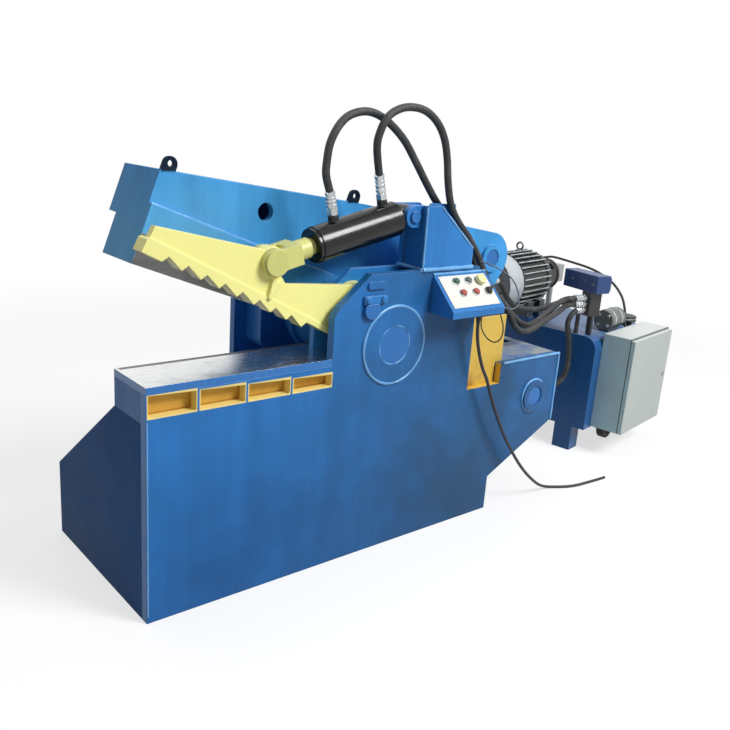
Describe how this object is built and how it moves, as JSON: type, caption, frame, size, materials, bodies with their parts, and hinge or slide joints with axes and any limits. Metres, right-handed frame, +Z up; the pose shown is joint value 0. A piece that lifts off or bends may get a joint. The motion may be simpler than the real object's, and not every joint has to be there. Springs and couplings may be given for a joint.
{
  "type": "alligator shear",
  "caption": "Hydraulic alligator shear with an opening jaw over a bed blade, a toothed hold-down arm, a sloping push-button box and a separate oil unit with a switch cabinet",
  "frame": {"origin": "on the floor, straight under the jaw pivot, midway between the outer faces of the bed", "axes": "+X from the nose of the bed to the oil unit, +Y from the operator side to the cut-off side, +Z up"},
  "size_m": [2.7953, 1.0155, 1.5046],
  "materials": {
    "blue_paint": "glossy blue enamel with welded seams and light scuffs",
    "yellow_paint": "golden yellow enamel in the recesses",
    "arm_paint": "pale lemon yellow enamel",
    "rod_steel": "ground and polished rods",
    "bed_steel": "bare milled steel plate, worn bright",
    "blade_steel": "dark ground tool steel",
    "bolt_steel": "bare steel",
    "bush_bronze": "machined bronze",
    "cylinder_black": "gloss black enamel",
    "panel_white": "off-white coated plate",
    "button_green": "moulded plastic",
    "button_grey": "moulded plastic",
    "button_cream": "moulded plastic",
    "button_red": "moulded plastic",
    "black_plastic": "moulded plastic",
    "cabinet_paint": "light warm grey powder coat",
    "lock_metal": "plated die-cast lock",
    "motor_grey": "grey machine enamel",
    "rotor_steel": "machined steel",
    "pump_metal": "cast aluminium",
    "valve_blue": "royal blue enamel",
    "filter_grey": "grey-green enamel",
    "hose_rubber": "black rubber hose",
    "cable_rubber": "black sheathed cable",
    "wheel_rubber": "solid rubber wheels on a steel axle"
  },
  "bodies": {
    "machine": {"near_side_plate": "blue_paint", "far_side_plate": "blue_paint", "bed_frame": "blue_paint", "rear_box": "blue_paint", "inner_cheek": "blue_paint", "tower": "blue_paint", "keeper_plate": "blue_paint", "bearing_block": "blue_paint", "oil_tank": "blue_paint", "control_box": "blue_paint", "anvil_beam": "yellow_paint", "recess_liner": "yellow_paint", "bed_top": "bed_steel", "lower_blade": "blade_steel", "lower_blade_bolts": "bolt_steel", "pivot_shaft": "bolt_steel", "rear_pin": "bolt_steel", "clamp_pin": "bolt_steel", "lug_pin": "bolt_steel", "bell_housing": "cylinder_black", "manifold": "cylinder_black", "control_panel": "panel_white", "terminal_box": "black_plastic", "cabinet_body": "cabinet_paint", "motor_frame": "motor_grey", "motor_end_shields": "motor_grey", "fan_cowl": "motor_grey", "pump": "pump_metal", "valve_block": "valve_blue", "return_filter": "filter_grey", "clamp_hose_front": "hose_rubber", "clamp_hose_rear": "hose_rubber", "main_hose_top": "hose_rubber", "main_hose_bottom": "hose_rubber", "control_cable": "cable_rubber", "motor_cable": "cable_rubber"},
    "jaw": {"upper_jaw": "blue_paint", "upper_blade": "blade_steel", "upper_blade_bolts": "bolt_steel", "jaw_bush": "bush_bronze", "tail_pin": "bolt_steel"},
    "main_barrel": {"main_cylinder": "cylinder_black", "main_gland": "cylinder_black"},
    "main_piston_rod": {"main_rod": "rod_steel"},
    "clamp": {"clamp_arm": "arm_paint", "fork_pin": "arm_paint"},
    "clamp_barrel": {"clamp_cylinder": "cylinder_black", "clamp_gland": "cylinder_black"},
    "clamp_piston_rod": {"clamp_rod": "rod_steel"},
    "green_cap": {"green_button": "button_green"},
    "grey_cap": {"grey_button": "button_grey"},
    "mushroom_cap": {"mushroom_button": "button_cream"},
    "red_cap": {"red_button": "button_red"},
    "second_red_cap": {"second_red_button": "button_red"},
    "selector": {"selector_switch": "black_plastic"},
    "door": {"cabinet_door": "cabinet_paint"},
    "lock": {"door_lock": "lock_metal"},
    "rotor": {"motor_rotor": "rotor_steel", "motor_fan": "black_plastic"},
    "wheels": {"unit_wheels": "wheel_rubber"}
  },
  "joints": [
    {"name": "jaw_pivot", "type": "hinge", "parent": "machine", "child": "jaw", "pos_m": [0, 0, 0.737], "axis": [0, -1, 0], "range_deg": [0, 20.4]},
    {"name": "main_barrel_swing", "type": "hinge", "parent": "machine", "child": "main_barrel", "pos_m": [0.775, 0, 0.438], "axis": [0, -1, 0], "range_deg": [0, 5.8]},
    {"name": "main_rod_stroke", "type": "slide", "parent": "main_barrel", "child": "main_piston_rod", "axis": [-0.1794, 0, 0.9838], "range_m": [0, 0.25]},
    {"name": "clamp_pivot", "type": "hinge", "parent": "machine", "child": "clamp", "pos_m": [-0.114, -0.26, 0.867], "axis": [0, -1, 0], "range_deg": [0, 25.5]},
    {"name": "clamp_barrel_swing", "type": "hinge", "parent": "machine", "child": "clamp_barrel", "pos_m": [0.07, -0.26, 1.154], "axis": [0, -1, 0], "range_deg": [0, 14.2]},
    {"name": "clamp_rod_stroke", "type": "slide", "parent": "clamp_barrel", "child": "clamp_piston_rod", "axis": [-0.9727, 0, -0.2321], "range_m": [0, 0.095]},
    {"name": "green_press", "type": "slide", "parent": "machine", "child": "green_cap", "axis": [0, 0.6939, -0.7201], "range_m": [0, 0.004], "stiffness_N_per_m": 600, "springref_m": -0.004},
    {"name": "grey_press", "type": "slide", "parent": "machine", "child": "grey_cap", "axis": [0, 0.6939, -0.7201], "range_m": [0, 0.004], "stiffness_N_per_m": 600, "springref_m": -0.004},
    {"name": "mushroom_press", "type": "slide", "parent": "machine", "child": "mushroom_cap", "axis": [0, 0.6939, -0.7201], "range_m": [0, 0.004], "stiffness_N_per_m": 600, "springref_m": -0.004},
    {"name": "red_press", "type": "slide", "parent": "machine", "child": "red_cap", "axis": [0, 0.6939, -0.7201], "range_m": [0, 0.004], "stiffness_N_per_m": 600, "springref_m": -0.004},
    {"name": "second_red_press", "type": "slide", "parent": "machine", "child": "second_red_cap", "axis": [0, 0.6939, -0.7201], "range_m": [0, 0.004], "stiffness_N_per_m": 600, "springref_m": -0.004},
    {"name": "selector_turn", "type": "hinge", "parent": "machine", "child": "selector", "pos_m": [0.367, -0.39549, 0.90371], "axis": [0, -0.6939, 0.7201], "range_deg": [-45, 45]},
    {"name": "door_swing", "type": "hinge", "parent": "machine", "child": "door", "pos_m": [1.48232, -0.3076, 0.35], "axis": [0, 0, -1], "range_deg": [0, 110]},
    {"name": "lock_turn", "type": "hinge", "parent": "door", "child": "lock", "pos_m": [1.88967, -0.25768, 0.3525], "axis": [-0.165, 0.9863, 0], "range_deg": [0, 90]},
    {"name": "rotor_spin", "type": "hinge", "parent": "machine", "child": "rotor", "pos_m": [1.36765, 0.31705, 0.751], "axis": [0.9863, 0.165, 0], "continuous": true},
    {"name": "wheels_roll", "type": "hinge", "parent": "machine", "child": "wheels", "pos_m": [1.64556, 0.20133, 0.056], "axis": [-0.165, 0.9863, 0], "continuous": true}
  ],
  "couplings": [
    {"joint": "main_barrel_swing", "follows": "jaw_pivot", "ratio": 0.2712},
    {"joint": "main_rod_stroke", "follows": "jaw_pivot", "m_per_rad": 0.6925},
    {"joint": "clamp_barrel_swing", "follows": "clamp_pivot", "ratio": 0.5397},
    {"joint": "clamp_rod_stroke", "follows": "clamp_pivot", "m_per_rad": 0.2103}
  ]
}
